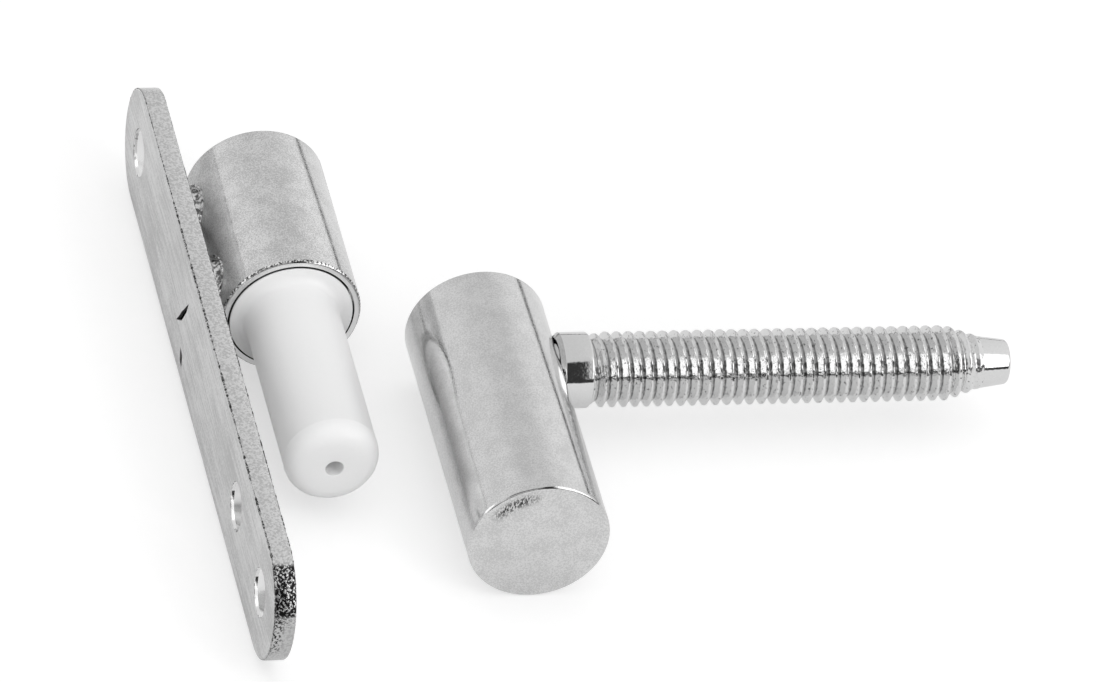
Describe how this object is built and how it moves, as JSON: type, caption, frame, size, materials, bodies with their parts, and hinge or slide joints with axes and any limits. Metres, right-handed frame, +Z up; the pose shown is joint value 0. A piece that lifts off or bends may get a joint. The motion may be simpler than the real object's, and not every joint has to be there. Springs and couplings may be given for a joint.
{
  "type": "drill-in hinge",
  "caption": "Lift-off drill-in door hinge: a screw-on plate with a welded barrel and sleeved pin, and a socket barrel with a threaded stud in its side.",
  "frame": {"origin": "on the pin's axis, at the middle of the length on which the sleeve bears", "axes": "-Y along the pin towards its tip, +X from the plate towards the barrel and along the stud, +Z up as the halves lie"},
  "size_m": [0.0873, 0.085, 0.015],
  "materials": {
    "plate_zinc": "zinc plated, matt with fine grain",
    "weld_metal": "zinc plated, lumpy",
    "barrel_zinc": "zinc plated, satin",
    "pin_steel": "ground",
    "sleeve_plastic": "moulded, satin",
    "stud_zinc": "zinc plated, bright"
  },
  "bodies": {
    "frame_half": {"mounting_plate": "plate_zinc", "weld_nuggets": "weld_metal", "frame_barrel": "barrel_zinc", "hinge_pin": "pin_steel", "bearing_sleeve": "sleeve_plastic"},
    "door_half": {"door_barrel": "barrel_zinc", "threaded_stud": "stud_zinc"}
  },
  "joints": [
    {"name": "door_swing", "type": "hinge", "parent": "frame_half", "child": "door_half", "pos_m": [0.0194, 0, 0], "axis": [0, -1, 0], "range_deg": [0, 120]}
  ]
}
